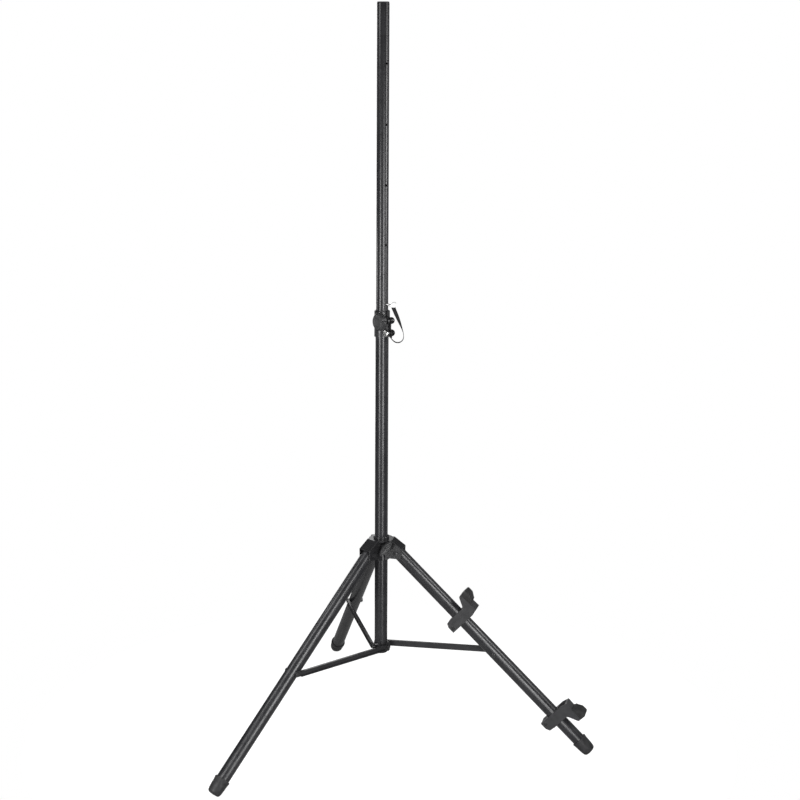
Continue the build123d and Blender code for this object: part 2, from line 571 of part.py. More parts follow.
def cable_hook(heel, way):
    """A flat-sided moulding clamped on the leg, with an arm above it and two lugs below it."""
    arm = [(0, 15), (0, 40), (4.5, 59), (62, 56), (65.5, 53), (65.5, 49.5), (62, 46.5), (38, 34.5), (34, 30), (34, 15)]
    lug = [(0, -15), (0, -43), (21, -43), (32, -37.5), (34, -15)]
    sleeve = [(0, -22.5), (0, 22.5), (HOOK_WIDTH, 22.5), (HOOK_WIDTH, -22.5)]
    hollow = [(-1, 24), (-1, 52), (14, 52), (14, 24)]
    step = [(20, -60), (20, 41), (30, 44), (70, 56), (70, 20), (40, -60)]
    gap = [(-5, -10), (-5, -60), (40, -60), (40, -10)]
    body = plate(hook_points(heel, way, sleeve), HOOK_HALF)
    body += plate(hook_points(heel, way, arm), HOOK_HALF)
    body += plate(hook_points(heel, way, lug), HOOK_HALF)
    body -= plate(hook_points(heel, way, hollow), HOOK_HALF - HOOK_SKIN)
    body -= plate(hook_points(heel, way, gap), LUG_HALF_GAP)
    for side in (-1, 1):
        body -= hook_side(heel, way, step, side * (HOOK_HALF - HOOK_STEP), side * (HOOK_HALF + 1))
    body -= cylinder_on_leg(LEG_RADIUS, heel - 60, heel + 60)
    screw = leg_point(heel + way * HOOK_SCREW[0], HOOK_SCREW[1])
    body -= side_bar(SCREW_HEAD + GAP, screw.X, screw.Z, -HOOK_HALF - 1, SCREW_RECESS - HOOK_HALF)
    return body - side_bar(M5, screw.X, screw.Z, -HOOK_HALF, HOOK_HALF)


def hook_pad(heel, way):
    """A rubber wedge on the arm, with ribs on its flat sides."""
    outline = [(27, 57.85), (31, 65), (45, 74.5), (49, 76), (63, 76), (66, 73), (66, 55.8), (62, 56)]
    body = plate(hook_points(heel, way, outline), HOOK_HALF - PAD_RIB)
    for foot in (0, 5):
        rib = [(30, 59.3 + foot), (32, 61.3 + foot), (65, 59.6 + foot), (65, 57.6 + foot)]
        body += plate(hook_points(heel, way, rib), HOOK_HALF)
    return body


def hook_screws():
    screws = []
    for heel, way in HOOKS.values():
        at = leg_point(heel + way * HOOK_SCREW[0], HOOK_SCREW[1])
        screw = side_bar(M5, at.X, at.Z, SCREW_RECESS - HOOK_HALF, HOOK_HALF)
        screw += cap_head(SCREW_HEAD, 3.0, Vector(at.X, SCREW_RECESS - HOOK_HALF, at.Z), Vector(0, -1, 0))
        screws.append(screw)
    return screws


# ---- tether route -------------------------------------------------------------------------------
tab_end = clamp_point(-EAR_OUT - STRAP_TAB / 2, CLAMP_BOLT_Z - STRAP_TAB_DROP)
ring_low = ring_centre() - UP * (RING_RADIUS + RING_WIRE + GAP)
STRAP_ROUTE = [
    (tab_end.X, tab_end.Y, tab_end.Z),
    (tab_end.X + 8, tab_end.Y + 0.5, tab_end.Z - 12),
    (tab_end.X + 28, tab_end.Y - 1, tab_end.Z - 13.5),
    (tab_end.X + 41, tab_end.Y - 3, tab_end.Z + 1),
    (tab_end.X + 37, tab_end.Y - 6, tab_end.Z + 28),
    (ring_low.X, ring_low.Y, ring_low.Z),
]


# ---- assembly -----------------------------------------------------------------------------------
def build():
    nodes = {
        "lower_tube": lower_tube(),
        "upper_tube": upper_tube(),
        "top_plug": top_plug(),
        "guide_plug": guide_plug(),
        "hub": hub(),
        "hub_core": hub_core(),
        "hub_bolts": hub_bolts(),
        "clamp_collar": clamp_collar(),
        "collar_bushing": collar_bushing(),
        "clamp_bolt": clamp_bolt(),
        "collar_nuts": collar_nuts(),
        "strap_tab": strap_tab(),
        "clamp_knob": clamp_knob(),
        "clamp_screw": clamp_screw(),
        "safety_pin": safety_pin(),
        "pin_ring": pin_ring(),
        "tether_strap": tether_strap(),
        "yoke_frame": yoke_frame(),
        "yoke_bushing": yoke_bushing(),
        "brake_pad": brake_pad(),
        "pivot_bolts": pivot_bolts(),
        "pivot_nuts": pivot_nuts(),
        "yoke_knob": yoke_knob(),
        "yoke_screw": yoke_screw(),
        "hook_screws": hook_screws(),
    }
    per_leg = {
        "leg_tube": leg_tube(),
        "leg_plug": leg_plug(),
        "foot": foot(),
        "brace_stud": brace_stud(),
        "stud_washers": stud_washers(),
        "brace": brace(),
        "brace_rivet": brace_rivet(),
    }
    for name, shape in per_leg.items():
        for leg, azimuth in LEG_AZIMUTHS.items():
            solids = shape if isinstance(shape, list) else [shape]
            nodes[f"{name}_{leg}"] = [Rot(0, 0, azimuth) * solid for solid in solids]
    for name, (heel, way) in HOOKS.items():
        nodes[f"cable_hook_{name}"] = cable_hook(heel, way)
        nodes[f"hook_pad_{name}"] = hook_pad(heel, way)
    return nodes


def write(nodes):
    os.makedirs("parts", exist_ok=True)
    for name, shape in nodes.items():
        solids = shape if isinstance(shape, list) else [shape]
        placed = [Pos(MAST_X, 0, 0) * solid for solid in solids]
        export_step(placed[0] if len(placed) == 1 else Compound(children=placed), f"parts/{name}.step")


if __name__ == "__main__":
    write(build())
    print("mast x", MAST_X, "yoke z", YOKE_Z, "hub z", HUB_Z, "top", UPPER_TOP)
    print("yoke travel", YOKE_TRAVEL, "leg turn", LEG_SPREAD - LEG_FOLDED, "brace turn", BRACE_TURN)
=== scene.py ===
import bpy
import bmesh
import json
from math import cos, pi, radians, sin, sqrt
from mathutils import Matrix, Vector


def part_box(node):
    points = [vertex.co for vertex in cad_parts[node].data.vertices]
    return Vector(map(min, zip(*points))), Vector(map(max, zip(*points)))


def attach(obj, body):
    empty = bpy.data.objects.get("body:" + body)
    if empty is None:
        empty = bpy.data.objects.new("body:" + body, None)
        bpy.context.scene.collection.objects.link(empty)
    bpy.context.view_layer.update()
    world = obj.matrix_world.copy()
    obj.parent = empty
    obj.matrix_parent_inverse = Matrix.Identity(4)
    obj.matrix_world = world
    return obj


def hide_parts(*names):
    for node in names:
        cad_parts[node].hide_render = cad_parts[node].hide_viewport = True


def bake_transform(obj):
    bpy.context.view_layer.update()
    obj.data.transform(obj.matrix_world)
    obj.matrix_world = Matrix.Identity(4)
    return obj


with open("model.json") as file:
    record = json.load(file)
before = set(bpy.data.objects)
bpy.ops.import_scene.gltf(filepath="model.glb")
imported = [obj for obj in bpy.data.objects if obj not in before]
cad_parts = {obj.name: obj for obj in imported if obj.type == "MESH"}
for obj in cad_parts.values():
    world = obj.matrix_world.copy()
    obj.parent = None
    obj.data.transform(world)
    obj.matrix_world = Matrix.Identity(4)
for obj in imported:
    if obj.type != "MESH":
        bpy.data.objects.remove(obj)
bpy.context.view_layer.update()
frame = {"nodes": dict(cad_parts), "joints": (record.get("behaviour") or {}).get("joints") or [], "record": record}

# A folding tripod stand for a loudspeaker. The frame is in metres, and pieces are drawn in millimetres.

# ---- places, from the frame ---------------------------------------------------------------------
MM = 0.001
UP = Vector((0, 0, 1))
JOINTS = {joint["name"]: joint for joint in frame["joints"]}
LEGS = {"a": 0.0, "b": 120.0, "c": 240.0}    # azimuth of each leg
LEG_LEAN = radians(46.7)                     # leg from the vertical
VIEW_AZIMUTH = 15.7                          # the camera's right-hand side
VIEW_TURN = radians(VIEW_AZIMUTH)            # the camera's heading, turned from +Y towards -X


def centre_of(node):
    low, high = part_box(node)
    return (low + high) / 2


MAST = centre_of("upper_tube") * 1000
MAST.z = 0
YOKE_Z = JOINTS["leg_a_swing"]["pos_m"][2] * 1000


# ---- camera -------------------------------------------------------------------------------------
CAMERA_FORWARD = 4426.0      # in front of the mast, mm
CAMERA_RIGHT = 33.0
CAMERA_ABOVE_YOKE = 1476.0
CAMERA_PITCH = radians(10.0)
CAMERA_YAW = radians(0.24)
CAMERA_ROLL = radians(0.33)
CAMERA_LENS = 70.27
CAMERA_SHIFT = -0.1022


def add_camera():
    """Looks down a little at the stand from its front, from just below the height of its top."""
    data = bpy.data.cameras.new("camera")
    data.sensor_width = 36.0
    data.lens = CAMERA_LENS
    data.shift_y = CAMERA_SHIFT
    data.clip_end = 100.0
    camera = bpy.data.objects.new("camera", data)
    bpy.context.scene.collection.objects.link(camera)
    turn = Matrix.Rotation(VIEW_TURN, 4, "Z")
    place = MAST + turn @ Vector((CAMERA_RIGHT, -CAMERA_FORWARD, YOKE_Z + CAMERA_ABOVE_YOKE))
    aim = Matrix.Rotation(-CAMERA_YAW, 4, "Z") @ Matrix.Rotation(pi / 2 - CAMERA_PITCH, 4, "X")
    camera.matrix_world = Matrix.Translation(place * MM) @ turn @ aim @ Matrix.Rotation(CAMERA_ROLL, 4, "Z")
    bpy.context.scene.camera = camera


# ---- light and floor ----------------------------------------------------------------------------
def toward_camera(turn_degrees):
    """The level direction that is turned this far from the camera's side, to its right."""
    angle = radians(-90.0 + turn_degrees) + VIEW_TURN
    return Vector((cos(angle), sin(angle), 0))


def panel(name, turn, distance, low, high, width, radiance, aim_turn=0.0, aim_height=None):
    """A soft light as an upright panel between two heights, which faces the mast or a height on it."""
    data = bpy.data.lights.new(name, "AREA")
    data.shape = "RECTANGLE"
    data.size = width
    data.size_y = high - low
    data.energy = radiance * pi * width * (high - low)
    lamp = bpy.data.objects.new(name, data)
    bpy.context.scene.collection.objects.link(lamp)
    lamp.location = MAST * MM + toward_camera(turn) * distance + UP * (low + high) / 2
    facing = -toward_camera(turn + aim_turn)
    if aim_height is not None:
        facing = MAST * MM + UP * aim_height - lamp.location
    lamp.rotation_euler = facing.to_track_quat("-Z", "Y").to_euler()
    lamp.visible_camera = False
    return lamp


def add_lights():
    """Strip panels close to the stand on both sides of the camera, rims on the right, and soft fills."""
    # turn in degrees, distance, lower edge, upper edge, width, radiance
    panel("left_strip", -38, 1.7, 0.0, 1.6, 0.42, 5.4)
    panel("left_core", -38, 1.69, 0.6, 1.35, 0.4, 7.5)
    panel("right_strip", 24, 1.6, -0.15, 1.75, 0.42, 5.4)
    panel("right_core", 25, 1.59, 0.45, 1.4, 0.4, 6.0)
    panel("right_rim", 76, 1.6, 0.95, 2.3, 0.5, 4.0)
    panel("right_rim_core", 76, 1.59, 1.35, 1.95, 0.4, 6.0)
    panel("right_edge", 122, 2.2, -0.4, 2.5, 1.3, 0.35)
    panel("front_fill", -2, 3.4, -0.2, 3.0, 2.6, 0.25)
    panel("left_top", -66, 1.6, 1.9, 2.7, 0.8, 5.0, aim_height=0.3)
    panel("back_fill", 195, 3.0, 0.2, 2.6, 1.6, 2.0)
    panel("left_side", -107, 1.2, 1.1, 1.35, 0.3, 6.0)
    panel("overhead", 0, 0.3, 3.3, 5.1, 1.8, 1.6, aim_height=0.3)
    world = bpy.data.worlds.new("studio")
    bpy.context.scene.world = world
    world.use_nodes = True
    nodes, links = world.node_tree.nodes, world.node_tree.links
    nodes.clear()
    seen = nodes.new("ShaderNodeBackground")
    seen.inputs["Color"].default_value = (1, 1, 1, 1)
    dim = nodes.new("ShaderNodeBackground")
    dim.inputs["Color"].default_value = (0.93, 0.95, 1.0, 1)
    dim.inputs["Strength"].default_value = 0.05
    rays = nodes.new("ShaderNodeLightPath")
    mix = nodes.new("ShaderNodeMixShader")
    out = nodes.new("ShaderNodeOutputWorld")
    links.new(rays.outputs["Is Camera Ray"], mix.inputs[0])
    links.new(dim.outputs[0], mix.inputs[1])
    links.new(seen.outputs[0], mix.inputs[2])
    links.new(mix.outputs[0], out.inputs["Surface"])


FLOOR_RADIUS = 1.05
FLOOR_GLOW_SEEN = 0.92
FLOOR_GLOW_AROUND = 0.1


def add_floor():
    """A pale round floor, just wide enough for the feet and their soft shadows."""
    bm = bmesh.new()
    bmesh.ops.create_circle(bm, cap_ends=True, segments=96, radius=FLOOR_RADIUS)
    bmesh.ops.translate(bm, verts=bm.verts, vec=(MAST.x * MM, 0, -0.0002))
    mesh = bpy.data.meshes.new("floor")
    bm.to_mesh(mesh)
    bm.free()
    floor = bpy.data.objects.new("floor", mesh)
    bpy.context.scene.collection.objects.link(floor)
    look = bpy.data.materials.new("floor_pale")
    look.use_nodes = True
    shader = look.node_tree.nodes["Principled BSDF"]
    shader.inputs["Base Color"].default_value = (0.3, 0.3, 0.3, 1)
    shader.inputs["Roughness"].default_value = 0.9
    shader.inputs["Specular IOR Level"].default_value = 0.2
    shader.inputs["Emission Color"].default_value = (1, 1, 1, 1)
    rays = look.node_tree.nodes.new("ShaderNodeLightPath")
    glow = look.node_tree.nodes.new("ShaderNodeMapRange")
    glow.inputs["To Min"].default_value = FLOOR_GLOW_AROUND
    glow.inputs["To Max"].default_value = FLOOR_GLOW_SEEN
    look.node_tree.links.new(rays.outputs["Is Camera Ray"], glow.inputs["Value"])
    look.node_tree.links.new(glow.outputs["Result"], shader.inputs["Emission Strength"])
    mesh.materials.append(look)


# ---- materials ----------------------------------------------------------------------------------
class Look:
    """A material with a Principled shader, and short calls for the nodes that feed it."""

    def __init__(self, name, colour, roughness, metallic=0.0, specular=0.5):
        self.material = bpy.data.materials.new(name)
        self.material.use_nodes = True
        self.nodes = self.material.node_tree.nodes
        self.links = self.material.node_tree.links
        self.shader = self.nodes["Principled BSDF"]
        self.shader.inputs["Base Color"].default_value = (*colour, 1)
        self.shader.inputs["Roughness"].default_value = roughness
        self.shader.inputs["Metallic"].default_value = metallic
        self.shader.inputs["Specular IOR Level"].default_value = specular
        self.place = self.nodes.new("ShaderNodeTexCoord").outputs["Object"]
        self.height = None

    def noise(self, per_mm, detail=3.0, stretch=(1, 1, 1), rough=0.5):
        """Fractal noise, whose features are about one over per_mm millimetres across."""
        mapping = self.nodes.new("ShaderNodeMapping")
        mapping.inputs["Scale"].default_value = [1000 * per_mm * s for s in stretch]
        self.links.new(self.place, mapping.inputs["Vector"])
        texture = self.nodes.new("ShaderNodeTexNoise")
        texture.inputs["Scale"].default_value = 1.0
        texture.inputs["Detail"].default_value = detail
        texture.inputs["Roughness"].default_value = rough
        self.links.new(mapping.outputs[0], texture.inputs["Vector"])
        return texture.outputs["Fac"]

    def span(self, value, low, high, to_low, to_high):
        """Maps a value's range to another, and holds it there."""
        node = self.nodes.new("ShaderNodeMapRange")
        ends = {"From Min": low, "From Max": high, "To Min": to_low, "To Max": to_high}
        for socket, number in ends.items():
            node.inputs[socket].default_value = number
        self.links.new(value, node.inputs["Value"])
        return node.outputs["Result"]

    def vary_roughness(self, value, low, high):
        self.links.new(self.span(value, 0.3, 0.7, low, high), self.shader.inputs["Roughness"])

    def vary_colour(self, value, one, two, low=0.3, high=0.7):
        mix = self.nodes.new("ShaderNodeMix")
        mix.data_type = "RGBA"
        mix.inputs["A"].default_value = (*one, 1)
        mix.inputs["B"].default_value = (*two, 1)
        self.links.new(self.span(value, low, high, 0.0, 1.0), mix.inputs["Factor"])
        self.links.new(mix.outputs["Result"], self.shader.inputs["Base Color"])

    def bump(self, value, depth_mm, strength=1.0):
        """Adds a relief of this depth over what is there."""
        node = self.nodes.new("ShaderNodeBump")
        node.inputs["Distance"].default_value = depth_mm * MM
        node.inputs["Strength"].default_value = strength
        self.links.new(value, node.inputs["Height"])
        if self.height is not None:
            self.links.new(self.height, node.inputs["Normal"])
        self.height = node.outputs["Normal"]
        self.links.new(self.height, self.shader.inputs["Normal"])


def powder_coat(name, colour, roughness, grain_mm=0.0009):
    """Black powder coat on metal: fine orange peel, a slow change of gloss and faint dust."""
    look = Look(name, colour, roughness)
    lighter = [c * 1.5 + 0.004 for c in colour]
    look.vary_colour(look.noise(0.02, 4.0), colour, lighter)
    look.vary_roughness(look.noise(0.05, 5.0), roughness * 0.85, roughness * 1.2)
    look.bump(look.noise(0.9, 2.0), grain_mm)
    return look.material


def moulded_plastic(name, colour, roughness, grain_mm=0.03):
    """Black moulded plastic with a fine spark-eroded grain."""
    look = Look(name, colour, roughness, specular=0.45)
    lighter = [c * 1.35 + 0.004 for c in colour]
    look.vary_colour(look.noise(0.06, 5.0), colour, lighter)
    look.vary_roughness(look.noise(0.4, 4.0), roughness * 0.9, roughness * 1.12)
    look.bump(look.noise(2.2, 3.0, rough=0.65), grain_mm)
    return look.material


def rubber(name, colour, roughness):
    """Dull rubber: mottled, with a soft bloom and a coarse skin."""
    look = Look(name, colour, roughness, specular=0.35)
    bloom = [c * 1.9 + 0.006 for c in colour]
    look.vary_colour(look.noise(0.09, 6.0, rough=0.6), colour, bloom, 0.35, 0.8)
    look.vary_roughness(look.noise(0.25, 4.0), roughness * 0.88, roughness * 1.1)
    look.bump(look.noise(1.4, 4.0, rough=0.7), 0.05)
    return look.material


def plated_steel(name, colour, roughness):
    """Bright zinc or nickel plating, with brushed streaks and slight stains."""
    look = Look(name, colour, roughness, metallic=1.0)
    stained = [c * 0.82 for c in colour]
    look.vary_colour(look.noise(0.3, 4.0), colour, stained, 0.45, 0.75)
    look.vary_roughness(look.noise(1.5, 3.0, stretch=(1, 1, 6)), roughness * 0.7, roughness * 1.4)
    look.bump(look.noise(2.0, 2.0, stretch=(1, 1, 8)), 0.008)
    return look.material


STRAP_ATTRIBUTE = "strap_mm"     # place on the strap: across, along, through


def webbing():
    """Woven flat webbing: ribs across and along it, with fuzzy threads."""
    look = Look("webbing_weave", (0.02, 0.02, 0.021), 0.75, specular=0.3)
    where = look.nodes.new("ShaderNodeAttribute")
    where.attribute_name = STRAP_ATTRIBUTE
    parts = look.nodes.new("ShaderNodeSeparateXYZ")
    look.links.new(where.outputs["Vector"], parts.inputs[0])
    waves = []
    for axis, pitch in (("X", 0.85), ("Y", 1.1)):
        scaled = look.nodes.new("ShaderNodeMath")
        scaled.operation = "MULTIPLY"
        scaled.inputs[1].default_value = 2 * pi / pitch
        look.links.new(parts.outputs[axis], scaled.inputs[0])
        wave = look.nodes.new("ShaderNodeMath")
        wave.operation = "SINE"
        look.links.new(scaled.outputs[0], wave.inputs[0])
        waves.append(wave.outputs[0])
    weave = look.nodes.new("ShaderNodeMath")
    weave.operation = "MULTIPLY"
    look.links.new(waves[0], weave.inputs[0])
    look.links.new(waves[1], weave.inputs[1])
    look.vary_colour(weave.outputs[0], (0.006, 0.006, 0.0065), (0.018, 0.018, 0.019), -0.8, 0.9)
    look.bump(weave.outputs[0], 0.12)
    look.bump(look.noise(3.0, 3.0, rough=0.7), 0.03)
    look.shader.inputs["Sheen Weight"].default_value = 0.05
    look.shader.inputs["Sheen Roughness"].default_value = 0.4
    return look.material


BLACK_TUBE = powder_coat("tube_coat", (0.014, 0.014, 0.0155), 0.27)
BLACK_BRACKET = powder_coat("bracket_coat", (0.013, 0.013, 0.014), 0.25)
BLACK_BRACE = powder_coat("brace_coat", (0.015, 0.015, 0.0165), 0.34)
BLACK_COLLAR = powder_coat("collar_coat", (0.015, 0.015, 0.016), 0.3)
BLACK_BOLT = powder_coat("bolt_coat", (0.02, 0.02, 0.021), 0.26, 0.0008)
BLACK_NUT = powder_coat("nut_gloss", (0.008, 0.008, 0.009), 0.09, 0.0005)
KNOB_PLASTIC = moulded_plastic("knob_plastic", (0.022, 0.022, 0.023), 0.42)
CAP_PLASTIC = moulded_plastic("cap_plastic", (0.02, 0.02, 0.021), 0.45)
BUSH_PLASTIC = moulded_plastic("bush_plastic", (0.014, 0.014, 0.015), 0.2, 0.01)
NYLON = moulded_plastic("nylon", (0.045, 0.045, 0.047), 0.38)
HOOK_PLASTIC = moulded_plastic("hook_plastic", (0.026, 0.026, 0.0275), 0.48)
PAD_RUBBER = rubber("pad_rubber_skin", (0.016, 0.016, 0.016), 0.62)
FOOT_RUBBER = rubber("foot_rubber_skin", (0.02, 0.02, 0.021), 0.5)
STEEL = plated_steel("plated_bolt", (0.74, 0.74, 0.72), 0.22)
PIN_STEEL = plated_steel("plated_pin", (0.8, 0.8, 0.79), 0.14)

FINISHES = {
    "tube_black": BLACK_TUBE,
    "bracket_black": BLACK_BRACKET,
    "brace_black": BLACK_BRACE,
    "bolt_black": BLACK_BOLT,
    "bolt_steel": STEEL,
    "pin_steel": PIN_STEEL,
    "collar_black": BLACK_COLLAR,
    "nut_black": BLACK_NUT,
    "knob_black": KNOB_PLASTIC,
    "cap_black": CAP_PLASTIC,
    "bushing_black": BUSH_PLASTIC,
    "nylon": NYLON,
    "hook_black": HOOK_PLASTIC,
    "pad_rubber": PAD_RUBBER,
    "foot_rubber": FOOT_RUBBER,
    "webbing": webbing(),
}


# ---- mesh helpers -------------------------------------------------------------------------------
def about(azimuth):
    """The level direction of this azimuth."""
    return Vector((cos(radians(azimuth)), sin(radians(azimuth)), 0))


def axes(origin, x_axis, z_axis):
    """A place in mm: its origin, its Z along z_axis, and its X as near to x_axis as it can be."""
    z = z_axis.normalized()
    x = (x_axis - z * x_axis.dot(z)).normalized()
    turn = Matrix((x, z.cross(x), z)).transposed().to_4x4()
    return Matrix.Translation(origin) @ turn


def bridge(bm, one, two):
    """Joins two rings of points with faces. A ring of one point closes to a fan."""
    count = max(len(one), len(two))
    for step in range(count):
        after = step + 1
        corners = [one[step % len(one)], one[after % len(one)], two[after % len(two)], two[step % len(two)]]
        bm.faces.new(list(dict.fromkeys(corners)))


def turned(bm, profile, steps=64, shape=None):
    """Adds a turned body from its outline in (radius, height). shape may change a radius with the angle."""
    rings = []
    for radius, height in profile:
        if radius == 0:
            rings.append([bm.verts.new((0, 0, height))])
            continue
        ring = []
        for step in range(steps):
            angle = 2 * pi * step / steps
            reach = shape(radius, height, angle) if shape else radius
            ring.append(bm.verts.new((reach * cos(angle), reach * sin(angle), height)))
        rings.append(ring)
    closed = profile[0][0] > 0
    for one, two in zip(rings, rings[1:] + rings[:1] if closed else rings[1:]):
        bridge(bm, one, two)


def round_corner(radius, height, size, from_angle, to_angle, steps=6):
    """Points of a quarter round with its centre at (radius, height)."""
    span = [radians(from_angle + (to_angle - from_angle) * step / steps) for step in range(steps + 1)]
    return [(radius + size * cos(a), height + size * sin(a)) for a in span]


def add_piece(name, bm, place, body, slot, stands_for=(), sharp=35):
    """Finishes a mesh drawn in mm at a place, and lets it ride on a body in place of CAD nodes."""
    bm.transform(Matrix.Scale(MM, 4) @ place)
    bmesh.ops.recalc_face_normals(bm, faces=bm.faces)
    mesh = bpy.data.meshes.new(name)
    bm.to_mesh(mesh)
    bm.free()
    mesh.materials.append(FINISHES[slot])
    mesh.shade_smooth()
    mesh.set_sharp_from_angle(angle=radians(sharp))
    piece = bpy.data.objects.new(name, mesh)
    bpy.context.scene.collection.objects.link(piece)
    if body:
        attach(piece, body)
    if stands_for:
        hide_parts(*stands_for)
    return piece


# ---- clamp: knob, pin and ring ------------------------------------------------------------------
CLAMP_AZIMUTH = -38.0
CLAMP_ALONG = about(CLAMP_AZIMUTH - 90)
CLAMP_SCREW = Vector(JOINTS["clamp_knob_turn"]["pos_m"]) / MM
KNOB_RADIUS = 25.0
KNOB_NECK = 7.0
KNOB_STARTS = 8.3
KNOB_FROM = 22.5
KNOB_TO = 41.0
SCOOPS = 4
SCOOP_RADIUS = 12.0
SCOOP_OFF = KNOB_RADIUS + 9.0    # middle of a finger scoop from the knob's axis
SCOOP_TURN = radians(20)
GRIP_RIBS = 40
GRIP_DEPTH = 0.28


def knob_shape(radius, height, angle):
    """Four finger scoops in the knob's rim, and fine ribs between them."""
    if radius <= KNOB_NECK + 1 or height <= KNOB_FROM:
        return radius
    pitch = 2 * pi / SCOOPS
    turn = (angle - SCOOP_TURN + pitch / 2) % pitch - pitch / 2
    reach = radius + GRIP_DEPTH * (cos(GRIP_RIBS * angle) - 1)
    side = SCOOP_OFF * sin(turn)
    if abs(side) < SCOOP_RADIUS:
        reach = min(reach, SCOOP_OFF * cos(turn) - sqrt(SCOOP_RADIUS**2 - side**2))
    return reach


def add_clamp_knob():
    """A moulded knob: narrow neck, ribbed and scooped rim, chamfered face with a dished middle."""
    bm = bmesh.new()
    profile = [(0, KNOB_STARTS), (KNOB_NECK - 0.6, KNOB_STARTS), (KNOB_NECK, KNOB_STARTS + 0.6)]
    profile += [(KNOB_NECK, KNOB_FROM - 2.5), (KNOB_NECK + 0.7, KNOB_FROM - 0.8)]
    profile += [(KNOB_NECK + 2.5, KNOB_FROM)]
    profile += round_corner(KNOB_RADIUS - 3.0, KNOB_FROM + 3.0, 3.0, -90, 0)
    profile += [(KNOB_RADIUS, KNOB_TO - 8.0), (KNOB_RADIUS, KNOB_TO - 4.4)]
    profile += [(KNOB_RADIUS - 0.3, KNOB_TO - 3.9)]
    profile += [(KNOB_RADIUS - 3.7, KNOB_TO - 0.4), (KNOB_RADIUS - 4.3, KNOB_TO)]
    profile += [(14.2, KNOB_TO), (13.4, KNOB_TO - 0.5), (12.4, KNOB_TO - 1.3), (0, KNOB_TO - 1.5)]
    turned(bm, profile, 240, knob_shape)
    place = axes(CLAMP_SCREW, UP, CLAMP_ALONG)
    return add_piece("clamp_knob_moulding", bm, place, "clamp_knob", "knob_black", ["clamp_knob"], 30)


PIN_RADIUS = 3.0
PIN_REACH = 45.0             # end of the pin from the mast's axis
PIN_NOSE = 19.0              # centre of its round nose, behind the axis
RING_RADIUS = 8.7
RING_WIRE = 0.62
RING_TURNS = 1.92
PIN_Z = centre_of("pin_ring").z / MM


def add_pin():
    """The whole safety pin, from its rounded nose behind the mast to its drilled end."""
    bm = bmesh.new()
    nose = round_corner(0, -PIN_NOSE, PIN_RADIUS, -90, 0)
    nose[0] = (0, nose[0][1])
    profile = nose + [(PIN_RADIUS, 17.0), (PIN_RADIUS, PIN_REACH - 6.6)]
    profile += [(PIN_RADIUS + 0.5, PIN_REACH - 6.0), (PIN_RADIUS + 0.5, PIN_REACH - 0.6)]
    profile += [(PIN_RADIUS, PIN_REACH), (0, PIN_REACH)]
    turned(bm, profile, 40)
    place = axes(MAST + UP * PIN_Z, UP, about(CLAMP_AZIMUTH))
    return add_piece("safety_pin_whole", bm, place, "safety_pin", "pin_steel", ["safety_pin"])


def tube_along(bm, points, radius, sides=12):
    """A round wire through points, with domed ends."""
    rings = []
    side = None
    for index, point in enumerate(points):
        ahead = points[min(index + 1, len(points) - 1)] - points[max(index - 1, 0)]
        ahead.normalize()
        side = (side or ahead.orthogonal()) - ahead * (side or ahead.orthogonal()).dot(ahead)
        side.normalize()
        other = ahead.cross(side)
        turns = [2 * pi * step / sides for step in range(sides)]
        rings.append([bm.verts.new(point + (side * cos(t) + other * sin(t)) * radius) for t in turns])
    ends = (rings[0], points[0], points[1]), (rings[-1], points[-1], points[-2])
    for ring, tip, inner in ends:
        bridge(bm, ring, [bm.verts.new(tip + (tip - inner).normalized() * radius * 0.5)])
    for one, two in zip(rings, rings[1:]):
        bridge(bm, one, two)


def add_ring():
    """A split ring: one wire wound almost twice round, through the end of the pin."""
    bm = bmesh.new()
    across = toward_camera(0)
    centre = MAST + about(CLAMP_AZIMUTH) * (PIN_REACH - 3) + about(VIEW_AZIMUTH) * RING_RADIUS + UP * PIN_Z
    place = axes(centre, about(VIEW_AZIMUTH), across)
    steps = 120
    points = []
    for step in range(steps + 1):
        turn = 2 * pi * RING_TURNS * step / steps + radians(70)
        rise = (step / steps - 0.5) * 2.1 * RING_WIRE
        points.append(Vector((RING_RADIUS * cos(turn), RING_RADIUS * sin(turn), rise)))
    tube_along(bm, points, RING_WIRE)
    return add_piece("pin_split_ring", bm, place, "safety_pin", "pin_steel", ["pin_ring"])


# ---- tether strap -------------------------------------------------------------------------------
# the strap's route, from the tab under the lower nut to the ring, in the row frame in metres
STRAP_ROUTE = [
    (-0.126444, -0.011944, 1.200231),
    (-0.118444, -0.011444, 1.188231),
    (-0.098444, -0.012944, 1.186731),
    (-0.085444, -0.014944, 1.201231),
    (-0.089444, -0.017944, 1.228231),
    (-0.114472, -0.023504, 1.287231),
]
STRAP_WIDTH = 11.0
STRAP_THICK = 1.5
FOLD_LENGTH = 21.0           # of the end that is sewn back on the strap
THREAD_RADIUS = 0.28


def route_points():
    """Points along the strap's smooth line, in mm, evenly near each other."""
    data = bpy.data.curves.new("strap_line", "CURVE")
    data.dimensions = "3D"
    data.resolution_u = 24
    spline = data.splines.new("NURBS")
    spline.points.add(len(STRAP_ROUTE) - 1)
    for point, place in zip(spline.points, STRAP_ROUTE):
        point.co = (*place, 1)
    spline.order_u = 3
    spline.use_endpoint_u = True
    line = bpy.data.objects.new("strap_line", data)
    bpy.context.scene.collection.objects.link(line)
    mesh = bpy.data.meshes.new_from_object(line)
    points = [vertex.co / MM for vertex in mesh.vertices]
    bpy.data.objects.remove(line)
    return points


def ease(value, low, high):
    """Rises smoothly from 0 at low to 1 at high."""
    share = min(max((value - low) / (high - low), 0.0), 1.0)
    return share * share * (3 - 2 * share)


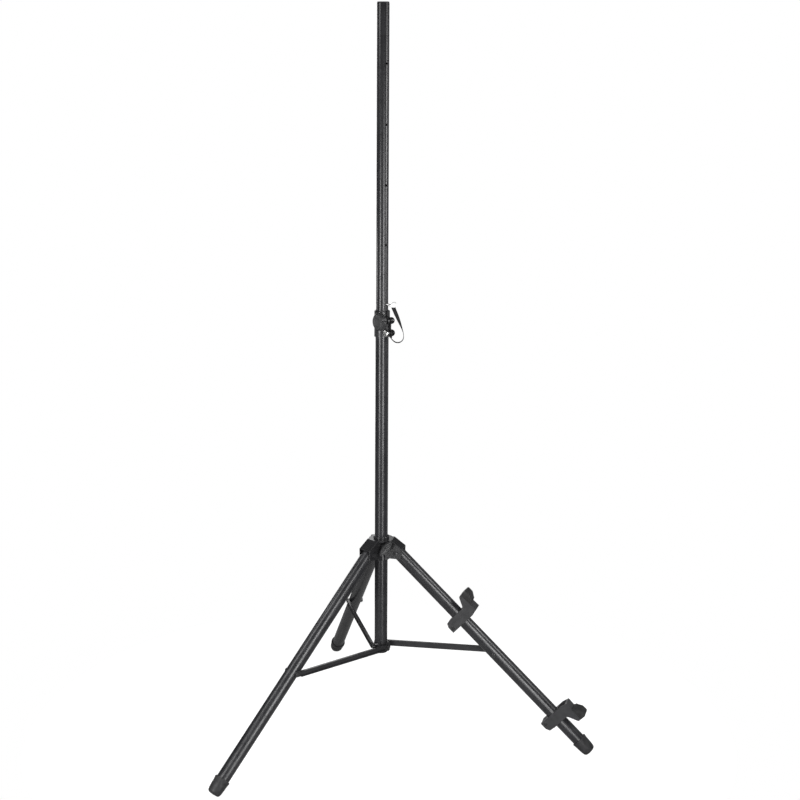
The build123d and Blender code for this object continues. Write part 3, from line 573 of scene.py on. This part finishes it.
def strap_section():
    """The webbing's outline: flat faces and full round selvedges."""
    half = STRAP_WIDTH / 2 - STRAP_THICK / 2
    top = [(half * (1 - step / 5), STRAP_THICK / 2) for step in range(11)]
    left = round_corner(-half, 0, STRAP_THICK / 2, 90, 270, 4)[1:-1]
    bottom = [(-x, -y) for x, y in top]
    right = [(-x, -y) for x, y in left]
    return top + left + bottom + right


def ribbon(bm, points, widths, layer):
    """Sweeps the webbing's outline along points. Its width lies along the given directions."""
    section = strap_section()
    rings = []
    travelled = 0.0
    for index, point in enumerate(points):
        ahead = (points[min(index + 1, len(points) - 1)] - points[max(index - 1, 0)]).normalized()
        travelled += (point - points[max(index - 1, 0)]).length
        wide = (widths[index] - ahead * widths[index].dot(ahead)).normalized()
        thick = ahead.cross(wide)
        ring = []
        for x, y in section:
            vertex = bm.verts.new(point + wide * x + thick * y)
            vertex[layer] = (x, travelled, y)
            ring.append(vertex)
        rings.append(ring)
    for one, two in zip(rings, rings[1:]):
        bridge(bm, one, two)
    for ring in (rings[0], rings[-1]):
        bm.faces.new(ring)


def add_strap():
    """Flat webbing that lies edge-on round its low loop, twists face-on, and is sewn round the ring."""
    points = route_points()
    total = sum((b - a).length for a, b in zip(points, points[1:]))
    low = toward_camera(0)
    high = about(VIEW_AZIMUTH)
    widths = []
    travelled = 0.0
    for index, point in enumerate(points):
        travelled += (point - points[max(index - 1, 0)]).length
        turn = ease(travelled / total, 0.4, 1.0) * pi / 2
        widths.append(low * cos(turn) + high * sin(turn))
    bm = bmesh.new()
    layer = bm.verts.layers.float_vector.new(STRAP_ATTRIBUTE)
    ribbon(bm, points, widths, layer)
    strap = add_piece("tether_webbing", bm, Matrix(), None, "webbing", ["tether_strap"], 50)
    fold = add_strap_fold(points[-1], (points[-1] - points[-8]).normalized(), high)
    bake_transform(strap)
    return strap


def add_strap_fold(end, ahead, wide):
    """The strap's end, wrapped round the ring, folded back down and sewn, with its stitches."""
    bm = bmesh.new()
    layer = bm.verts.layers.float_vector.new(STRAP_ATTRIBUTE)
    thick = ahead.cross(wide).normalized()
    if thick.dot(toward_camera(0)) < 0:
        thick = -thick
    wrap = STRAP_THICK / 2 + 1.0
    middle = end + ahead * 1.2
    points = []
    for step in range(9):
        turn = radians(-90 + 180 * step / 8)
        points.append(middle + thick * (wrap + wrap * sin(turn)) + ahead * wrap * cos(turn) * 1.1)
    for step in range(1, 11):
        share = step / 10
        drop = FOLD_LENGTH * share
        gap = 2 * wrap - (2 * wrap - STRAP_THICK - 0.1) * ease(share, 0.0, 0.35)
        points.append(middle + thick * gap - ahead * drop)
    ribbon(bm, points, [wide] * len(points), layer)
    face = STRAP_THICK * 1.5 + 0.15
    for across in (-4.2, 4.2):
        for row in range(7):
            start = middle + wide * across + thick * face - ahead * (6.0 + row * 2.1)
            stitch = [start, start + thick * 0.18 - ahead * 0.7, start - ahead * 1.5]
            tube_along(bm, stitch, THREAD_RADIUS, 6)
    for row in range(4):
        for side in (-1, 1):
            start = middle + wide * side * (3.4 - row * 2.2) + thick * face - ahead * (6.4 + row * 3.4)
            tube_along(bm, [start, start - wide * side * 1.0 - ahead * 1.6], THREAD_RADIUS, 6)
    return add_piece("tether_sewn_end", bm, Matrix(), "safety_pin", "webbing", (), 50)


# ---- yoke: wing knob and bolts ------------------------------------------------------------------
WING_AZIMUTH = -60.0
WING_LENGTH = 52.0
WING_WIDTH = 20.0
WING_LEAN = 50.0             # of its length from the level, degrees
WING_STEPS = 120
RIDGE_HEIGHT = 0.55
RIDGE_PITCH = 5.2


def wing_point(share, angle, height):
    """A point of the leaf: a share of the way out to its pointed outline."""
    pinch = 1.0 - 0.16 * cos(angle) ** 4
    along = share * WING_LENGTH / 2 * cos(angle)
    across = share * WING_WIDTH / 2 * sin(angle) * pinch
    return Vector((along, across, height))


def add_wing_knob():
    """A leaf-shaped wing knob with a raised rim, and grip ridges across its dished face."""
    bm = bmesh.new()
    skin = [(0.0, 0.0), (0.86, 0.0), (0.93, 0.5), (0.97, 1.8), (1.0, 4.2)]
    skin += [(1.0, 8.2), (0.98, 10.6), (0.94, 12.2)]
    skin += [(0.88, 12.9), (0.81, 12.9), (0.75, 12.1), (0.71, 10.9), (0.66, 10.3)]
    skin += [(0.6 - 0.06 * step, 10.1 - 0.1 * step) for step in range(10)] + [(0.0, 9.0)]
    rings = []
    for share, height in skin:
        if share == 0:
            rings.append([bm.verts.new((0, 0, height))])
            continue
        ring = []
        for step in range(WING_STEPS):
            angle = 2 * pi * step / WING_STEPS
            point = wing_point(share, angle, height)
            if share <= 0.6 and height > 9.0:
                ridge = max(0.0, cos(point.x * 2 * pi / RIDGE_PITCH))
                point.z += RIDGE_HEIGHT * ridge * ease(share, 0.0, 0.2)
            ring.append(bm.verts.new(point))
        rings.append(ring)
    for one, two in zip(rings, rings[1:]):
        bridge(bm, one, two)
    bm.transform(Matrix.Rotation(radians(WING_LEAN), 4, "Z"))
    stem = [(0, -8.0), (7.4, -8.0), (8.0, -7.4), (8.0, -1.6), (9.4, 0.2), (9.4, 1.0), (0, 1.0)]
    turned(bm, stem, 64)
    out = about(WING_AZIMUTH)
    origin = Vector(JOINTS["yoke_knob_turn"]["pos_m"]) / MM
    place = axes(origin, UP.cross(out), out)
    return add_piece("yoke_wing", bm, place, "yoke_knob", "knob_black", ["yoke_knob"], 40)


def hexagon(size):
    """A shape for turned(): rings no wider than this become hexagons."""
    def shape(radius, height, angle):
        if radius > size + 0.01:
            return radius
        return radius * cos(pi / 6) / cos((angle + pi / 6) % (pi / 3) - pi / 6)
    return shape


def socket_bolt(bm, head, tall, shank, length, place):
    """A button-head bolt with a hexagon socket. Its shank runs back from the head's seat."""
    part = bmesh.new()
    socket = head * 0.46
    profile = [(0, -length), (shank, -length), (shank, 0), (head, 0), (head, tall * 0.28)]
    for a in (20, 38, 52):
        profile.append((head * cos(radians(a)) ** 0.8, tall * (0.28 + 0.72 * sin(radians(a)))))
    profile += [(socket + 0.35, tall), (socket, tall - 0.2), (socket, tall * 0.3), (0, tall * 0.3)]
    turned(part, profile, 48, hexagon(socket))
    part.transform(place)
    mesh = bpy.data.meshes.new("part")
    part.to_mesh(mesh)
    part.free()
    bm.from_mesh(mesh)
    bpy.data.meshes.remove(mesh)


PIVOT_HEAD_FROM = 22.0       # seat of a pivot bolt's head, beside its leg
PIVOTS = {leg: Vector(JOINTS[f"leg_{leg}_swing"]["pos_m"]) / MM for leg in LEGS}


def add_pivot_bolts():
    """The three socket bolts that the legs swing on."""
    bm = bmesh.new()
    for leg, azimuth in LEGS.items():
        side = about(azimuth - 90)
        place = axes(PIVOTS[leg] + side * PIVOT_HEAD_FROM, UP, side)
        socket_bolt(bm, 7.0, 4.5, 4.0, 2 * PIVOT_HEAD_FROM + 7, place)
    return add_piece("pivot_bolts_socket", bm, Matrix(), "yoke", "bolt_black", ["pivot_bolts"])


# ---- feet ---------------------------------------------------------------------------------------
LEG_LENGTH = 803.0
LEG_RADIUS = 19.0
FOOT_LENGTH = 47.0
FOOT_RADIUS = 22.8
FOOT_END_RADIUS = 19.0
FOOT_ROUND = 8.0
TUBE_STOPS = 8.0             # the tube's end inside the foot


def leg_place(leg):
    """Leg coordinates: Z down the leg from its pivot, X to its upper side."""
    outward = about(LEGS[leg])
    down = outward * sin(LEG_LEAN) - UP * cos(LEG_LEAN)
    return axes(PIVOTS[leg], outward * cos(LEG_LEAN) + UP * sin(LEG_LEAN), down)


def add_foot(leg):
    """A rubber cap with a rolled rim, three grip grooves and the flat that it stands on."""
    bm = bmesh.new()
    start = LEG_LENGTH - FOOT_LENGTH
    slope = (FOOT_RADIUS - 0.5 - FOOT_END_RADIUS) / (FOOT_LENGTH - 6)

    def skin(down):
        return FOOT_RADIUS - 0.5 - slope * max(down - 6, 0)

    profile = [(LEG_RADIUS + 0.05, start + 0.8), (LEG_RADIUS + 0.6, start + 0.1)]
    profile += round_corner(FOOT_RADIUS - 1.2, start + 1.2, 1.2, -90, 0, 4)
    profile += [(FOOT_RADIUS, start + 3.0), (FOOT_RADIUS - 0.2, start + 4.2)]
    for groove in (7.5, 11.5, 15.5):
        for step, depth in ((-1.3, 0.0), (-0.8, 0.55), (0.0, 0.8), (0.8, 0.55), (1.3, 0.0)):
            profile.append((skin(groove + step) - depth, start + groove + step))
    profile += [(skin(d), start + d) for d in (20.0, 28.0, 36.0)]
    profile += round_corner(FOOT_END_RADIUS - FOOT_ROUND, LEG_LENGTH - FOOT_ROUND, FOOT_ROUND, 4, 90, 8)
    profile += [(6.5, LEG_LENGTH), (5.5, LEG_LENGTH - 0.7), (0, LEG_LENGTH - 0.9)]
    pocket = [(LEG_RADIUS + 0.05, LEG_LENGTH - TUBE_STOPS), (0, LEG_LENGTH - TUBE_STOPS)]
    turned(bm, profile[::-1] + pocket, 96)
    place = leg_place(leg)
    bm.transform(place)
    for vertex in bm.verts:
        vertex.co.z = max(vertex.co.z, 0.0)
    return add_piece(f"foot_cap_{leg}", bm, Matrix(), f"leg_{leg}", "foot_rubber", [f"foot_{leg}"], 40)


def dress_frame():
    """Gives every carried-over node the finish of its slot."""
    for part in frame["record"]["subparts"]:
        mesh = frame["nodes"][part["node"]].data
        mesh.materials.clear()
        mesh.materials.append(FINISHES[part["material_slot"]])


# ---- scene --------------------------------------------------------------------------------------
add_camera()
add_lights()
add_floor()
dress_frame()
add_strap()
add_clamp_knob()
add_pin()
add_ring()
add_wing_knob()
add_pivot_bolts()
for leg in LEGS:
    add_foot(leg)
bpy.context.scene.view_settings.view_transform = "Standard"
